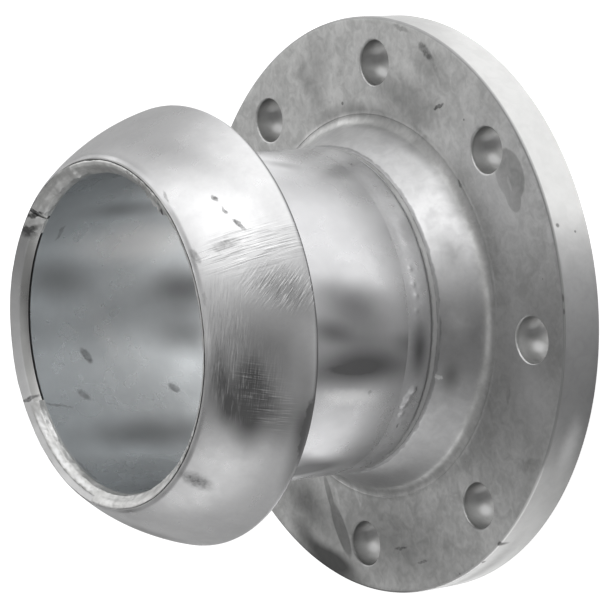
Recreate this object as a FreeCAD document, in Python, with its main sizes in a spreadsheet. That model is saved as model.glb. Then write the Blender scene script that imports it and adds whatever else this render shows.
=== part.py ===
import FreeCAD, Part
import math
import os

import Sketcher

# Flanged ball end of a lever-type pipe coupling, millimetres, +Z up.
# It stands on the sealing face of its flange with the mouth of the ball upward.
# The origin is the centre of that face. A height is measured from the face,
# and every section is drawn in the XZ plane and turned about the Z axis.

# Driving dimensions, one cell of the sheet each
SIZES = {
    # Weld-neck flange
    "flange_diameter": 285.0,
    "flange_thickness": 22.0,
    "flange_edge_chamfer": 0.8,
    "bolt_edge_distance": 22.5,
    "bolt_hole_diameter": 22.0,
    "bolt_hole_count": 8,
    "bolt_hole_chamfer": 0.5,
    "neck_base_step": 11.5,
    "neck_base_fillet": 6.0,
    "neck_taper_length": 21.8,
    "neck_step_depth": 0.9,
    "neck_land_length": 8.5,
    # Pipe
    "pipe_outer_diameter": 159.0,
    "pipe_wall": 4.5,
    "pipe_length": 117.4,
    # Butt weld between the neck and the pipe
    "neck_root_gap": 2.0,
    "neck_root_face": 1.5,
    "neck_bevel_angle": 30.0,
    "neck_bead_overlap": 2.05,
    "neck_bead_height": 1.8,
    # Pressed ball shell
    "ball_diameter": 214.0,
    "ball_length": 47.6,
    "ball_wall": 5.0,
    "ball_back_round": 3.0,
    "ball_seat_clearance": 0.3,
    "mouth_reach": 8.4,
    "mouth_overhang": 1.8,
    "mouth_root_gap": 1.2,
    # Fillet weld behind the ball
    "back_weld_leg": 5.0,
    # Welds inside the mouth
    "mouth_bead_cover": 0.3,
    "mouth_weld_start": 101.0,
    "mouth_weld_sweep": 283.0,
    "mouth_weld_toe": 1.3,
    "mouth_weld_rise": 0.15,
    "tack_gap": 2.5,
    "tack_sweep": 10.0,
    "tack_toe": 4.2,
    "tack_rise": 0.4,
}

# Radii and heights that follow from the driving dimensions
FLANGE_RADIUS = "(Sizes.flange_diameter / 2)"
BOLT_CIRCLE_RADIUS = f"({FLANGE_RADIUS} - Sizes.bolt_edge_distance)"
BOLT_HOLE_RADIUS = "(Sizes.bolt_hole_diameter / 2)"
PIPE_RADIUS = "(Sizes.pipe_outer_diameter / 2)"
NECK_BASE_RADIUS = f"({PIPE_RADIUS} + Sizes.neck_base_step)"
BORE_RADIUS = f"({PIPE_RADIUS} - Sizes.pipe_wall)"
TAPER_END = "(Sizes.flange_thickness + Sizes.neck_taper_length)"
LAND_START = f"({TAPER_END} + Sizes.neck_step_depth)"
NECK_END = f"({TAPER_END} + Sizes.neck_land_length)"
PIPE_START = f"({NECK_END} + Sizes.neck_root_gap)"
PIPE_END = f"({PIPE_START} + Sizes.pipe_length)"
ROOT_RADIUS = f"({BORE_RADIUS} + Sizes.neck_root_face)"
BEVEL_RISE = f"(({PIPE_RADIUS} - {ROOT_RADIUS}) * tan(Sizes.neck_bevel_angle))"
NECK_BEVEL_EDGE = f"({NECK_END} - {BEVEL_RISE})"
PIPE_BEVEL_EDGE = f"({PIPE_START} + {BEVEL_RISE})"

LIP_BOTTOM = f"({PIPE_END} + Sizes.mouth_root_gap)"
MOUTH_RADIUS = f"({PIPE_RADIUS} + Sizes.mouth_overhang)"
MOUTH_HEIGHT = f"({PIPE_END} + Sizes.mouth_reach)"
BALL_RADIUS = "(Sizes.ball_diameter / 2)"
MOUTH_RISE = f"sqrt({BALL_RADIUS}^2 - {MOUTH_RADIUS}^2)"
BALL_CENTRE = f"({MOUTH_HEIGHT} - {MOUTH_RISE})"
BALL_BACK = f"({MOUTH_HEIGHT} - Sizes.ball_length)"
HOLLOW_RADIUS = f"({BALL_RADIUS} - Sizes.ball_wall)"
HOLLOW_BACK = f"({BALL_BACK} + Sizes.ball_wall)"
SEAT_RADIUS = f"({PIPE_RADIUS} + Sizes.ball_seat_clearance)"
TACK_START = "(Sizes.mouth_weld_start + Sizes.mouth_weld_sweep + Sizes.tack_gap)"


def sphere_radius_at(sphere_radius, height):
    """Distance from the axis to a sphere about the ball's centre, at a height."""
    return f"sqrt({sphere_radius}^2 - ({height} - {BALL_CENTRE})^2)"


def mouth_edge_point(depth):
    """Radius and height on the mouth's cut edge, a depth in from the ball's surface."""
    share = f"(1 - ({depth}) / {BALL_RADIUS})"
    return f"({MOUTH_RADIUS} * {share})", f"({BALL_CENTRE} + {MOUTH_RISE} * {share})"


def bead_radius(start, end, height):
    """Radius of the arc that stands a height above the chord from start to end."""
    chord_squared = f"(({end[0]} - {start[0]})^2 + ({end[1]} - {start[1]})^2)"
    return f"({chord_squared} / (8 * {height}) + {height} / 2)"


def make_sheet(doc):
    """The sheet of driving dimensions, each cell known by its alias."""
    sheet = doc.addObject("Spreadsheet::Sheet", "Sizes")
    for row, (name, number) in enumerate(SIZES.items(), start=1):
        sheet.set(f"A{row}", str(number))
        sheet.setAlias(f"A{row}", name)
    doc.recompute()
    return sheet


def make_body(doc, label):
    """An empty body, named as its node is."""
    body = doc.addObject("PartDesign::Body", label)
    body.Label = label
    return body


def number_of(body, expression):
    """The present value of an expression, as a plain number."""
    return float(body.evalExpression(expression))


def add_sketch(body, name, role):
    """A sketch lying on one of the body's own origin planes."""
    plane = next(item for item in body.Origin.OriginFeatures if item.Role == role)
    sketch = body.newObject("Sketcher::SketchObject", name)
    sketch.AttachmentSupport = (plane, [""])
    sketch.MapMode = "FlatFace"
    return sketch


def bind_constraint(sketch, name, constraint, expression):
    """Add a named constraint whose value is an expression of the sheet."""
    index = sketch.addConstraint(constraint)
    sketch.renameConstraint(index, name)
    sketch.setExpression(f"Constraints.{name}", expression)


def arc_between(start, end, radius, side):
    """Arc from start to end, its centre to the left (side 1) or right (side -1)."""
    chord = end - start
    left = FreeCAD.Vector(-chord.y, chord.x, 0).normalize()
    centre = (start + end) / 2 + left * side * math.sqrt(radius**2 - (chord.Length / 2) ** 2)
    first, last = (start, end) if side > 0 else (end, start)
    angles = [math.atan2(point.y - centre.y, point.x - centre.x) for point in (first, last)]
    circle = Part.Circle(centre, FreeCAD.Vector(0, 0, 1), radius)
    return Part.ArcOfCircle(circle, angles[0], angles[1])


def draw_section(sketch, corners, arcs):
    """Closed outline through corners, each a (radius, height) pair of expressions.

    arcs gives {corner number: (radius, side)} where the edge that leaves that
    corner is an arc and not a straight line.
    """
    body = sketch.getParentGeoFeatureGroup()
    points = []
    for radius, height in corners:
        points.append(FreeCAD.Vector(number_of(body, radius), number_of(body, height), 0))
    starts = []
    ends = []
    for number, start in enumerate(points):
        end = points[(number + 1) % len(points)]
        if number in arcs:
            radius, side = arcs[number]
            edge = sketch.addGeometry(arc_between(start, end, number_of(body, radius), side))
            starts.append((edge, 1 if side > 0 else 2))
            ends.append((edge, 2 if side > 0 else 1))
        else:
            edge = sketch.addGeometry(Part.LineSegment(start, end))
            starts.append((edge, 1))
            ends.append((edge, 2))
    for number, (radius, height) in enumerate(corners):
        sketch.addConstraint(Sketcher.Constraint("Coincident", *ends[number - 1], *starts[number]))
        for kind, word, expression in (("DistanceX", "radius", radius), ("DistanceY", "height", height)):
            constraint = Sketcher.Constraint(kind, -1, 1, *starts[number], number_of(body, expression))
            bind_constraint(sketch, f"{word}_{number}", constraint, expression)
    for number, (radius, side) in arcs.items():
        constraint = Sketcher.Constraint("Radius", starts[number][0], number_of(body, radius))
        bind_constraint(sketch, f"arc_{number}", constraint, radius)


def turn_section(body, name, corners, arcs={}, feature_type="Revolution", sweep="360", axis_radius=None):
    """Add or cut what a section sweeps as it turns about the Z axis.

    With axis_radius, it turns about a line that stands that far out, parallel to Z.
    """
    sketch = add_sketch(body, f"{name}_section", "XZ_Plane")
    draw_section(sketch, corners, arcs)
    axis = "V_Axis"
    if axis_radius:
        axis = "Axis0"
        add_axis_line(sketch, axis_radius, corners[0], corners[-1])
    feature = body.newObject(f"PartDesign::{feature_type}", name)
    feature.Profile = sketch
    feature.ReferenceAxis = (sketch, [axis])
    feature.setExpression("Angle", sweep)
    body.Document.recompute()
    return feature


def add_axis_line(sketch, radius, low_corner, high_corner):
    """Construction line between two corners of the section, to turn it about."""
    body = sketch.getParentGeoFeatureGroup()
    ends = []
    for corner in (low_corner, high_corner):
        ends.append(FreeCAD.Vector(number_of(body, radius), number_of(body, corner[1]), 0))
    line = sketch.addGeometry(Part.LineSegment(*ends), True)
    for end, corner in ((1, low_corner), (2, high_corner)):
        for kind, word, expression in (("DistanceX", "radius", radius), ("DistanceY", "height", corner[1])):
            constraint = Sketcher.Constraint(kind, -1, 1, line, end, number_of(body, expression))
            bind_constraint(sketch, f"axis_{word}_{end}", constraint, expression)


def circle_edges(feature, circles):
    """Names of the feature's circular edges with these (radius, height) pairs."""
    names = []
    for number, edge in enumerate(feature.Shape.Edges, start=1):
        if not isinstance(edge.Curve, Part.Circle):
            continue
        for radius, height in circles:
            same_radius = abs(edge.Curve.Radius - radius) < 0.01
            same_height = abs(edge.Curve.Center.z - height) < 0.01
            if same_radius and same_height:
                names.append(f"Edge{number}")
    return names


def dress_edges(body, base, feature_type, name, circles, size_name, expression):
    """Round or chamfer the base's circular edges, given as (radius, height) pairs."""
    places = [(number_of(body, radius), number_of(body, height)) for radius, height in circles]
    feature = body.newObject(f"PartDesign::{feature_type}", name)
    feature.Base = (base, circle_edges(base, places))
    feature.setExpression(size_name, expression)
    body.Document.recompute()
    return feature


def turn_body(body, angle):
    """Turn a body about the Z axis by an angle that is an expression."""
    upright = FreeCAD.Vector(0, 0, 1)
    body.Placement = FreeCAD.Placement(FreeCAD.Vector(), FreeCAD.Rotation(upright, number_of(body, angle)))
    body.setExpression("Placement.Rotation.Angle", angle)
    body.Document.recompute()


def make_flange(doc):
    """Flange with its neck, forged and turned as one piece, and a ring of bolt holes."""
    body = make_body(doc, "weld_neck_flange")
    front = "Sizes.flange_thickness"
    section = [
        (BORE_RADIUS, "0"),
        (FLANGE_RADIUS, "0"),
        (FLANGE_RADIUS, front),
        (NECK_BASE_RADIUS, front),
        (f"{PIPE_RADIUS} + Sizes.neck_step_depth", TAPER_END),
        (PIPE_RADIUS, LAND_START),
        (PIPE_RADIUS, NECK_BEVEL_EDGE),
        (ROOT_RADIUS, NECK_END),
        (BORE_RADIUS, NECK_END),
    ]
    blank = turn_section(body, "turned_blank", section)
    neck_corner = [(NECK_BASE_RADIUS, front)]
    neck = dress_edges(body, blank, "Fillet", "neck_fillet", neck_corner, "Radius", "Sizes.neck_base_fillet")
    rim_corners = [(FLANGE_RADIUS, "0"), (FLANGE_RADIUS, front)]
    dress_edges(body, neck, "Chamfer", "rim_chamfers", rim_corners, "Size", "Sizes.flange_edge_chamfer")
    drill_bolt_holes(body, front)
    turn_body(body, "180 / Sizes.bolt_hole_count")
    return body


def drill_bolt_holes(body, front):
    """One hole chamfered at both ends and clear above, repeated round the bolt circle."""
    solid_volume = body.Shape.Volume
    wall = f"({BOLT_CIRCLE_RADIUS} + {BOLT_HOLE_RADIUS})"
    mouth = f"({wall} + Sizes.bolt_hole_chamfer)"
    above = f"({front} + Sizes.neck_base_fillet)"
    section = [
        (BOLT_CIRCLE_RADIUS, "0"),
        (mouth, "0"),
        (wall, "Sizes.bolt_hole_chamfer"),
        (wall, f"{front} - Sizes.bolt_hole_chamfer"),
        (mouth, front),
        (mouth, above),
        (BOLT_CIRCLE_RADIUS, above),
    ]
    hole = turn_section(body, "bolt_hole", section, feature_type="Groove", axis_radius=BOLT_CIRCLE_RADIUS)
    hole_volume = math.pi * number_of(body, BOLT_HOLE_RADIUS) ** 2 * number_of(body, front)
    if solid_volume - hole.Shape.Volume < hole_volume:
        raise RuntimeError("the bolt hole does not go through the flange")

    pattern = body.newObject("PartDesign::PolarPattern", "bolt_circle")
    pattern.Originals = [hole]
    pattern.Axis = (hole.Profile[0], ["V_Axis"])
    pattern.Angle = 360
    pattern.setExpression("Occurrences", "Sizes.bolt_hole_count")
    body.Tip = pattern
    body.Document.recompute()


def make_pipe(doc):
    """Pipe with a welding bevel at the flange end and a square end inside the ball."""
    body = make_body(doc, "pipe_stub")
    section = [
        (BORE_RADIUS, PIPE_START),
        (ROOT_RADIUS, PIPE_START),
        (PIPE_RADIUS, PIPE_BEVEL_EDGE),
        (PIPE_RADIUS, PIPE_END),
        (BORE_RADIUS, PIPE_END),
    ]
    turn_section(body, "pipe_wall_ring", section)
    return body


def make_neck_weld(doc):
    """V-groove weld metal between neck and pipe, with its raised bead outside."""
    body = make_body(doc, "neck_weld")
    low_toe = (PIPE_RADIUS, f"({NECK_BEVEL_EDGE} - Sizes.neck_bead_overlap)")
    high_toe = (PIPE_RADIUS, f"({PIPE_BEVEL_EDGE} + Sizes.neck_bead_overlap)")
    section = [
        (BORE_RADIUS, NECK_END),
        (ROOT_RADIUS, NECK_END),
        (PIPE_RADIUS, NECK_BEVEL_EDGE),
        low_toe,
        high_toe,
        (PIPE_RADIUS, PIPE_BEVEL_EDGE),
        (ROOT_RADIUS, PIPE_START),
        (BORE_RADIUS, PIPE_START),
    ]
    crown = bead_radius(low_toe, high_toe, "Sizes.neck_bead_height")
    turn_section(body, "weld_ring", section, {3: (crown, 1)})
    return body


def make_ball(doc):
    """Pressed shell: a zone of a sphere with a flat back and a lip over the pipe's end."""
    body = make_body(doc, "ball_shell")
    round_height = f"({BALL_BACK} + Sizes.ball_back_round)"
    round_radius = sphere_radius_at(f"({BALL_RADIUS} - Sizes.ball_back_round)", round_height)
    reach = f"({BALL_RADIUS} / ({BALL_RADIUS} - Sizes.ball_back_round))"
    section = [
        (SEAT_RADIUS, BALL_BACK),
        (round_radius, BALL_BACK),
        (f"{round_radius} * {reach}", f"{BALL_CENTRE} + ({round_height} - {BALL_CENTRE}) * {reach}"),
        (MOUTH_RADIUS, MOUTH_HEIGHT),
        mouth_edge_point("Sizes.ball_wall"),
        (BORE_RADIUS, LIP_BOTTOM),
        (SEAT_RADIUS, LIP_BOTTOM),
    ]
    arcs = {1: ("Sizes.ball_back_round", 1), 2: (BALL_RADIUS, 1)}
    turn_section(body, "ball_zone", section, arcs)

    solid_volume = body.Shape.Volume
    hollow = [
        (BORE_RADIUS, HOLLOW_BACK),
        (sphere_radius_at(HOLLOW_RADIUS, HOLLOW_BACK), HOLLOW_BACK),
        (sphere_radius_at(HOLLOW_RADIUS, LIP_BOTTOM), LIP_BOTTOM),
        (BORE_RADIUS, LIP_BOTTOM),
    ]
    shell = turn_section(body, "hollow", hollow, {1: (HOLLOW_RADIUS, 1)}, "Groove")
    if not shell.Shape.Volume < solid_volume:
        raise RuntimeError("the ball was not hollowed")
    return body


def make_back_weld(doc):
    """Fillet weld in the corner between the ball's back and the pipe."""
    body = make_body(doc, "ball_back_weld")
    section = [
        (PIPE_RADIUS, BALL_BACK),
        (PIPE_RADIUS, f"({BALL_BACK} - Sizes.back_weld_leg)"),
        (f"({PIPE_RADIUS} + Sizes.back_weld_leg)", BALL_BACK),
    ]
    turn_section(body, "weld_ring", section)
    return body


def make_mouth_bead(doc, label, size_word, start):
    """Weld over the joint of lip and pipe, along one stretch of the mouth.

    Its crown stands in and up from the lip's inner corner, and its outer toe lies
    on the lip's cut edge. size_word begins the names of its own sizes, and start
    is the angle at which it begins.
    """
    body = make_body(doc, label)
    corner = mouth_edge_point("Sizes.ball_wall")
    section = [
        (BORE_RADIUS, PIPE_END),
        (PIPE_RADIUS, PIPE_END),
        (PIPE_RADIUS, LIP_BOTTOM),
        (BORE_RADIUS, LIP_BOTTOM),
        corner,
        mouth_edge_point(f"Sizes.ball_wall - Sizes.{size_word}_toe"),
        (f"({corner[0]} - Sizes.{size_word}_rise)", f"({corner[1]} + Sizes.{size_word}_rise)"),
        (f"({BORE_RADIUS} - Sizes.mouth_bead_cover)", LIP_BOTTOM),
    ]
    turn_section(body, "bead", section, sweep=f"Sizes.{size_word}_sweep")
    turn_body(body, start)
    return body


def make_parts(doc):
    """Every sub-part, in the order in which they are put together."""
    return [
        make_flange(doc),
        make_pipe(doc),
        make_neck_weld(doc),
        make_ball(doc),
        make_back_weld(doc),
        make_mouth_bead(doc, "mouth_weld", "mouth_weld", "Sizes.mouth_weld_start"),
        make_mouth_bead(doc, "mouth_tack_weld", "tack", TACK_START),
    ]


def check_document(doc, parts):
    """Stop if an object failed or a sub-part has no sound shape."""
    for item in doc.Objects:
        if "Invalid" in item.State or "Error" in item.State:
            raise RuntimeError(f"{item.Label} failed")
    for part in parts:
        if part.Shape.isNull() or not part.Shape.isValid() or len(part.Shape.Solids) != 1:
            raise RuntimeError(f"{part.Label} is not one sound solid")


document = FreeCAD.newDocument("flanged_ball_end")
make_sheet(document)
sub_parts = make_parts(document)
document.recompute()
check_document(document, sub_parts)

os.makedirs("parts", exist_ok=True)
for sub_part in sub_parts:
    sub_part.Shape.exportStep(f"parts/{sub_part.Label}.step")
    print(f"{sub_part.Label}: {sub_part.Shape.Volume / 1000:.1f} cm3")
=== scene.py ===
import math

import bmesh
import bpy
from mathutils import Matrix, Vector


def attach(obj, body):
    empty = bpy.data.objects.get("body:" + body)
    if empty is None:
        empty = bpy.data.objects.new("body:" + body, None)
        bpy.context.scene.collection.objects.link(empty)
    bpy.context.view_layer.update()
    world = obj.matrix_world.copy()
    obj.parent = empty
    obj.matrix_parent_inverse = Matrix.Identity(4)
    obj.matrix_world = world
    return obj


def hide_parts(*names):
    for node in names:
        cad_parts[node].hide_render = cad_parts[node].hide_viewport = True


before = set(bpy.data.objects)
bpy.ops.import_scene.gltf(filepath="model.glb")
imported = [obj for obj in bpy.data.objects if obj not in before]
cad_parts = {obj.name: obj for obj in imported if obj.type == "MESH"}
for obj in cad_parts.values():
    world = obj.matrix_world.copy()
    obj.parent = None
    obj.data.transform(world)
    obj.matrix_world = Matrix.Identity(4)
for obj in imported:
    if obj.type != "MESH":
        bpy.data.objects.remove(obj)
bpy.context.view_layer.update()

MM = 0.001
FULL_TURN = 2 * math.pi

# Sizes of the fitting in millimetres, the same as in the part's source.
FLANGE_RADIUS = 142.5
FLANGE_THICKNESS = 22.0
HOLE_COUNT = 8
HOLE_RADIUS = 11.0
BOLT_CIRCLE_RADIUS = 120.0
BORE_RADIUS = 75.0
PIPE_RADIUS = 79.5
ROOT_RADIUS = 76.5
NECK_BASE_RADIUS = 91.0
TAPER_TOP = (80.4, 43.8)
LAND_START = 44.7
NECK_BEVEL_EDGE = 50.57
NECK_END = 52.3
PIPE_START = 54.3
PIPE_BEVEL_EDGE = 56.03
PIPE_END = 171.7
BALL_RADIUS = 107.0
BALL_CENTRE = 110.53
BALL_BACK = 132.5
BACK_ROUND = 3.0
SEAT_RADIUS = 79.8
HOLLOW_RADIUS = 102.0
HOLLOW_BACK = 137.5
MOUTH_OUTER = (81.3, 180.1)
MOUTH_INNER = (77.5, 176.85)
LIP_BOTTOM = 172.9
BACK_WELD_LEG = 5.0
# Turned line at the neck's foot, and groove between the neck's land and its weld.
TURNED_RING = [(95.4, 22.0), (95.15, 22.1), (94.85, 22.1), (94.6, 21.95)]
NECK_FOOT = (NECK_BASE_RADIUS, 21.95)
NECK_GROOVE = [(PIPE_RADIUS, 47.7), (79.0, 48.05), (79.0, 48.75)]
# Rounding of the edges: of the flange, of its neck's foot, of the bolt holes and of the lip.
FLANGE_EDGE_ROUND = 1.1
NECK_FOOT_ROUND = 3.3
TAPER_TOP_ROUND = 0.5
HOLE_EDGE_ROUND = 1.0
LIP_ROUNDS = [(MOUTH_OUTER, 0.35, 2), (MOUTH_INNER, 0.5, 2)]
# Where the mouth weld starts, and where its tack does and how far it runs, in degrees.
MOUTH_WELD_START = 101.0
TACK_START = 28.5
TACK_SWEEP = 7.0
# Steps round the axis of the turned pieces, fine for the rough welds.
PLAIN_STEPS = 288
BALL_STEPS = 384
BACK_WELD_STEPS = 432
NECK_WELD_STEPS = 576
MOUTH_STEPS_PER_DEGREE = 1.9
TACK_STEPS = 24
HOLE_STEPS = 64
# How far the tool that cuts the bolt holes stands out at either face, and widens there.
CUTTER_REACH = 1.5
CUTTER_FLARE = 0.2
MERGE_DISTANCE = 0.002


# ---- modelling

def only(piece):
    """Selects this piece alone and makes it active."""
    bpy.ops.object.select_all(action="DESELECT")
    piece.select_set(True)
    bpy.context.view_layer.objects.active = piece


def pick(test, kind="verts"):
    """Selects the vertices, edges or faces of the mesh in edit mode that pass the test."""
    modes = {"verts": "VERT", "edges": "EDGE", "faces": "FACE"}
    bpy.ops.mesh.select_mode(type=modes[kind])
    bpy.ops.mesh.select_all(action="DESELECT")
    mesh = bpy.context.edit_object.data
    bm = bmesh.from_edit_mesh(mesh)
    found = [part for part in getattr(bm, kind) if test(part)]
    for part in found:
        part.select = True
    bm.select_flush_mode()
    bmesh.update_edit_mesh(mesh)
    return len(found)


def near(point, reach=0.05):
    """A test for vertices at this radius and height, in millimetres."""
    def test(vertex):
        radius = math.hypot(vertex.co.x, vertex.co.y) / MM
        return math.hypot(radius - point[0], vertex.co.z / MM - point[1]) < reach
    return test


def arc(centre, radius, start, end, steps):
    """Points along an arc in the plane of radius and height, angles in degrees."""
    angles = [math.radians(start + (end - start) * i / steps) for i in range(steps + 1)]
    return [(centre[0] + radius * math.cos(a), centre[1] + radius * math.sin(a)) for a in angles]


def angle_at(centre, point):
    """Angle in degrees of a point as seen from a centre."""
    return math.degrees(math.atan2(point[1] - centre[1], point[0] - centre[0]))


def draw_section(name, points, rounds=(), pitch=2.5):
    """Draws a closed section point by point, rounds its named corners and divides long edges.

    rounds holds (corner, reach, segments). The piece is left in edit mode, all selected.
    """
    bpy.ops.object.select_all(action="DESELECT")
    bpy.ops.mesh.primitive_plane_add(size=MM)
    piece = bpy.context.object
    piece.name = piece.data.name = name
    bpy.ops.object.mode_set(mode="EDIT")
    bpy.ops.mesh.select_mode(type="VERT")
    bpy.ops.mesh.select_all(action="SELECT")
    bpy.ops.mesh.merge(type="CENTER")
    bpy.ops.transform.translate(value=(points[0][0] * MM, 0, points[0][1] * MM))
    for last, point in zip(points, points[1:]):
        step = ((point[0] - last[0]) * MM, 0, (point[1] - last[1]) * MM)
        bpy.ops.mesh.extrude_region_move(TRANSFORM_OT_translate={"value": step})
    bpy.ops.mesh.select_all(action="SELECT")
    bpy.ops.mesh.edge_face_add()
    for corner, reach, segments in rounds:
        pick(near(corner))
        bpy.ops.mesh.bevel(affect="VERTICES", offset=reach * MM, segments=segments)
    bpy.ops.mesh.select_all(action="SELECT")
    bpy.ops.mesh.delete(type="ONLY_FACE")
    while pick(lambda edge: edge.calc_length() > pitch * MM, "edges"):
        bpy.ops.mesh.subdivide(number_cuts=1)
    bpy.ops.mesh.select_mode(type="VERT")
    bpy.ops.mesh.select_all(action="SELECT")
    return piece


def clean_up():
    """Merges the doubles of the mesh in edit mode and turns its faces outwards."""
    bpy.ops.mesh.select_all(action="SELECT")
    bpy.ops.mesh.remove_doubles(threshold=MERGE_DISTANCE * MM)
    bpy.ops.mesh.normals_make_consistent(inside=False)


def rotate(degrees):
    """Turns what is selected about the pipe's axis, anticlockwise as seen from the mouth."""
    bpy.ops.transform.rotate(
        value=-math.radians(degrees), orient_axis="Z", center_override=(0, 0, 0)
    )


def turn(name, points, segments, rounds=(), pitch=2.5, start=0.0, extent=360.0):
    """A section turned round the pipe's axis, closed at its ends where it stops short."""
    piece = draw_section(name, points, rounds, pitch)
    if start:
        rotate(start)
    bpy.ops.object.mode_set(mode="OBJECT")
    finish_with(
        piece, "SCREW", axis="Z", angle=math.radians(extent), steps=segments,
        render_steps=segments, use_merge_vertices=extent == 360.0,
    )
    bpy.ops.object.mode_set(mode="EDIT")
    clean_up()
    if pick(lambda edge: edge.is_boundary, "edges"):
        bpy.ops.mesh.fill_holes(sides=0)
        clean_up()
    bpy.ops.object.mode_set(mode="OBJECT")
    return piece


def weigh(piece, name, share):
    """A vertex group whose weight is share(radius, height), in millimetres."""
    group = piece.vertex_groups.new(name=name)
    for vertex in piece.data.vertices:
        x, y, z = vertex.co / MM
        weight = share(math.hypot(x, y), z)
        if weight > 0:
            group.add([vertex.index], min(weight, 1.0), "REPLACE")
    return group.name


def finish_with(piece, kind, **settings):
    """Adds a modifier, sets it and applies it."""
    only(piece)
    modifier = piece.modifiers.new(kind.lower(), kind)
    for key, value in settings.items():
        setattr(modifier, key, value)
    bpy.ops.object.modifier_apply(modifier=modifier.name)


def roughen(piece, size, depth, share=None, middle=1.0, detail=1):
    """Moves the surface in and out by a cloud pattern of this size and depth in millimetres.

    With middle at 1 it only goes inwards, so the piece stays inside its own outline.
    """
    texture = bpy.data.textures.new(f"{piece.name}_{size}mm", "CLOUDS")
    texture.noise_scale = size * MM
    texture.noise_depth = detail
    group = weigh(piece, f"worn_{size}mm", share) if share else ""
    finish_with(
        piece, "DISPLACE", texture=texture, texture_coords="LOCAL", strength=depth * MM,
        mid_level=middle, direction="NORMAL", vertex_group=group,
    )
    bpy.data.textures.remove(texture)


def pull(piece, places, outward):
    """Pulls the surface at each place in or out by hand: (place, reach, height), in millimetres.

    outward gives the direction in which a place is pulled; a height below 0 is a dent.
    """
    only(piece)
    bpy.ops.object.mode_set(mode="EDIT")
    for place, reach, height in places:
        target = Vector(place) * MM
        nearest = min(bmesh.from_edit_mesh(piece.data).verts, key=lambda v: (v.co - target).length)
        index = nearest.index
        pick(lambda vertex: vertex.index == index)
        bpy.ops.transform.translate(
            value=outward(target).normalized() * height * MM, use_proportional_edit=True,
            proportional_edit_falloff="SMOOTH", proportional_size=reach * MM,
        )
    bpy.ops.object.mode_set(mode="OBJECT")


def from_axis(place):
    """Direction straight out from the pipe's axis."""
    return Vector((place.x, place.y, 0.0))


def from_ball_centre(place):
    """Direction straight out from the centre of the ball."""
    return place - Vector((0.0, 0.0, BALL_CENTRE * MM))


def upward(place):
    """Direction of the flange's front face."""
    return Vector((0.0, 0.0, 1.0))


def smooth(piece, angle=30):
    """Smooth shading with edges sharper than the angle kept sharp."""
    only(piece)
    bpy.ops.object.shade_smooth_by_angle(angle=math.radians(angle))


def hand_over(piece, node, material):
    """The finished piece stands for its node of the model and rides with it."""
    piece.data.materials.clear()
    piece.data.materials.append(material)
    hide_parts(node)
    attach(piece, "root")


# ---- camera

CAMERA_PLACE = Vector((-0.223533, -1.131114, 0.928496))
CAMERA_LENS = 175.39
CAMERA_SENSOR = 36.0
CAMERA_CLIP = (0.05, 50.0)
PHOTO_RIGHT = Vector((-0.21988, -0.56544, -0.79494))
PHOTO_UP = Vector((0.96271, -0.25741, -0.08319))
PHOTO_FRONT = Vector((-0.15758, -0.78359, 0.60096))


def set_camera():
    data = bpy.data.cameras.new("photo_camera")
    data.lens = CAMERA_LENS
    data.sensor_width = CAMERA_SENSOR
    data.clip_start, data.clip_end = CAMERA_CLIP
    camera = bpy.data.objects.new("photo_camera", data)
    bpy.context.scene.collection.objects.link(camera)
    turned = Matrix((PHOTO_RIGHT, PHOTO_UP, PHOTO_FRONT)).transposed().to_4x4()
    camera.matrix_world = Matrix.Translation(CAMERA_PLACE) @ turned
    bpy.context.scene.camera = camera


# ---- nodes

def node(tree, kind, sources=None, **settings):
    """Adds a node, sets its properties and fills its sockets with numbers or links."""
    made = tree.nodes.new(kind)
    for key, value in settings.items():
        setattr(made, key, value)
    for socket, source in (sources or {}).items():
        if isinstance(source, bpy.types.NodeSocket):
            tree.links.new(source, made.inputs[socket])
        else:
            made.inputs[socket].default_value = source
    return made


def maths(tree, operation, first, second=0.0, third=0.0, clamp=False):
    sources = {0: first, 1: second, 2: third}
    return node(tree, "ShaderNodeMath", sources, operation=operation, use_clamp=clamp).outputs[0]


def ramp(tree, value, low, high, to_low=0.0, to_high=1.0):
    """Maps a value softly from one range to another, held at its ends."""
    sources = {
        "Value": value, "From Min": low, "From Max": high, "To Min": to_low, "To Max": to_high,
    }
    made = node(tree, "ShaderNodeMapRange", sources, interpolation_type="SMOOTHSTEP")
    return made.outputs["Result"]


def fade(tree, value, span, *ends):
    """Goes from 0 to 1, or from one given end to the other, over a span in millimetres."""
    return ramp(tree, value, span[0] * MM, span[1] * MM, *ends)


def times(tree, first, second):
    return maths(tree, "MULTIPLY", first, second)


def vectors(tree, operation, *sources, output="Vector"):
    sources = dict(enumerate(sources))
    return node(tree, "ShaderNodeVectorMath", sources, operation=operation).outputs[output]


def aligned(tree, place, aim):
    """How far a place lies in a direction."""
    return vectors(tree, "DOT_PRODUCT", place, aim, output="Value")


def length_of(tree, place):
    return vectors(tree, "LENGTH", place, output="Value")


def framed(tree, place, middle, size, turned=(0, 0, 0)):
    """The place as a frame with this middle, size and rotation has it."""
    sources = {"Vector": place, "Location": middle, "Rotation": turned, "Scale": size}
    return node(tree, "ShaderNodeMapping", sources, vector_type="TEXTURE").outputs[0]


def light_path(tree):
    """The light path's outputs, and 1 for what the camera sees itself or through glass."""
    path = node(tree, "ShaderNodeLightPath").outputs
    return path, maths(tree, "ADD", path["Is Camera Ray"], path["Is Transmission Ray"], clamp=True)


def mix(tree, share, first, second, kind="MIX"):
    """Mixes two colours."""
    made = tree.nodes.new("ShaderNodeMix")
    made.data_type = "RGBA"
    made.blend_type = kind
    sockets = [s for s in made.inputs if s.type == "RGBA"]
    for socket, source in ((made.inputs[0], share), (sockets[0], first), (sockets[1], second)):
        if isinstance(source, bpy.types.NodeSocket):
            tree.links.new(source, socket)
        elif socket.type == "RGBA":
            socket.default_value = (*source, 1.0)
        else:
            socket.default_value = source
    return [s for s in made.outputs if s.type == "RGBA"][0]


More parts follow.
